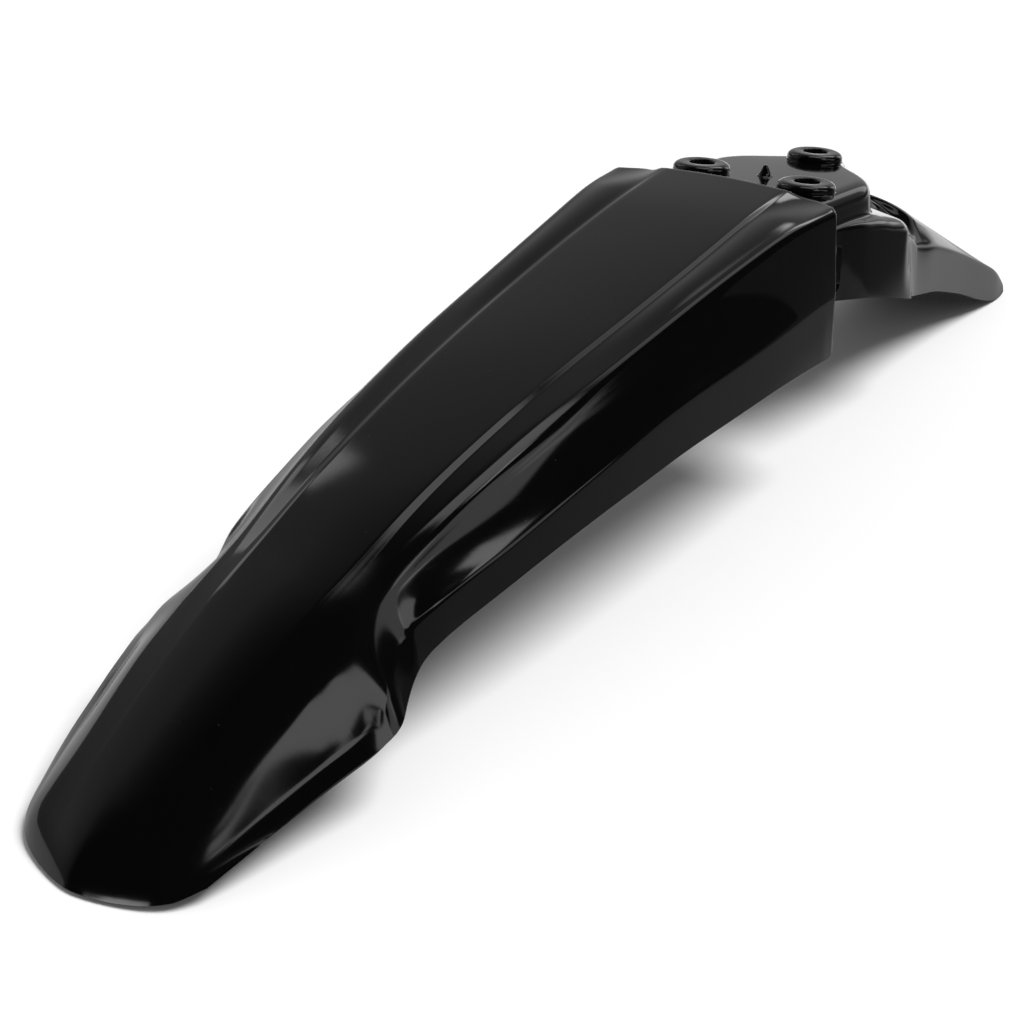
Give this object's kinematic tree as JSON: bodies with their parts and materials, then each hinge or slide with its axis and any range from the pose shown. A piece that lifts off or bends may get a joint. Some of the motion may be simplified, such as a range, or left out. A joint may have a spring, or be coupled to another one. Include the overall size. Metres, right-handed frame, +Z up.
{
  "type": "motorcycle front mudguard",
  "caption": "Long moulded mudguard with an arched ridged blade, flared front, bolt-down deck with raised bosses, side pods and a short curved tail.",
  "frame": {"origin": "middle of the length and width, on the floor plane that the mudguard lies on", "axes": "+Z up, +Y from the tip of the blade back to the tail, +X to the side seen in the picture"},
  "size_m": [0.128, 0.7, 0.1334],
  "materials": {
    "moulding": "gloss black, mass-coloured moulding"
  },
  "bodies": {
    "root": {"mudguard": "moulding"}
  },
  "joints": []
}
